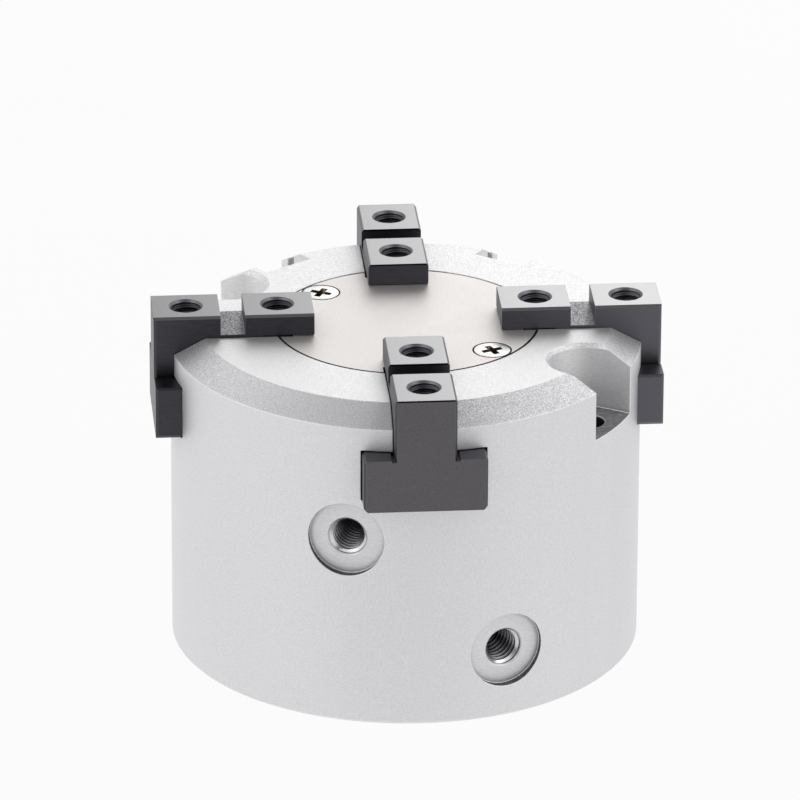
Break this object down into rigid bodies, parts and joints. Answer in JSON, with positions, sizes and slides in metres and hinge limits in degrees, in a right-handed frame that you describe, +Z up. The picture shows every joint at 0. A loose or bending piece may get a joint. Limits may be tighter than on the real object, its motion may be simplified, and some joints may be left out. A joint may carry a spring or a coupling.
{
  "type": "four jaw centric gripper",
  "caption": "Round pneumatic centric gripper with sliding T-section jaws that a wedge cam moves together.",
  "frame": {"origin": "centre of the base, on the cylinder's axis", "axes": "+Z up along the cylinder's axis towards the jaws; jaws along +X, +Y, -X and -Y; air ports on the -Y side"},
  "size_m": [0.0668, 0.0668, 0.047],
  "materials": {
    "anodised": "clear anodised, blasted",
    "plate_steel": "fine ground stainless",
    "zinc": "bright zinc plated",
    "black_steel": "black oxide, ground",
    "tool_steel": "hardened, oiled",
    "rod_steel": "hard chrome, polished",
    "bare_aluminium": "turned",
    "nitrile": "moulded",
    "magnet": "moulded magnet compound"
  },
  "bodies": {
    "housing": {"body": "anodised", "cover_plate": "plate_steel", "cover_screw_front": "zinc", "cover_screw_back": "zinc", "rod_seal": "nitrile", "upper_bumper": "nitrile", "lower_bumper": "nitrile", "end_cap": "bare_aluminium", "cap_gasket": "nitrile", "retaining_ring": "tool_steel"},
    "drive": {"wedge_cam": "tool_steel", "cam_bolt": "zinc", "piston_rod": "rod_steel", "rod_gasket": "nitrile", "piston": "bare_aluminium", "piston_seal": "nitrile", "magnet_ring": "magnet"},
    "right_jaw": {"jaw_right": "black_steel"},
    "back_jaw": {"jaw_back": "black_steel"},
    "left_jaw": {"jaw_left": "black_steel"},
    "front_jaw": {"jaw_front": "black_steel"}
  },
  "joints": [
    {"name": "piston_slide", "type": "slide", "parent": "housing", "child": "drive", "axis": [0, 0, 1], "range_m": [-0.006, 0]},
    {"name": "jaw_right_slide", "type": "slide", "parent": "housing", "child": "right_jaw", "axis": [1, 0, 0], "range_m": [-0.004, 0]},
    {"name": "jaw_back_slide", "type": "slide", "parent": "housing", "child": "back_jaw", "axis": [0, 1, 0], "range_m": [-0.004, 0]},
    {"name": "jaw_left_slide", "type": "slide", "parent": "housing", "child": "left_jaw", "axis": [-1, 0, 0], "range_m": [-0.004, 0]},
    {"name": "jaw_front_slide", "type": "slide", "parent": "housing", "child": "front_jaw", "axis": [0, -1, 0], "range_m": [-0.004, 0]}
  ],
  "couplings": [
    {"joint": "jaw_right_slide", "follows": "piston_slide", "ratio": 0.66667},
    {"joint": "jaw_back_slide", "follows": "piston_slide", "ratio": 0.66667},
    {"joint": "jaw_left_slide", "follows": "piston_slide", "ratio": 0.66667},
    {"joint": "jaw_front_slide", "follows": "piston_slide", "ratio": 0.66667}
  ]
}
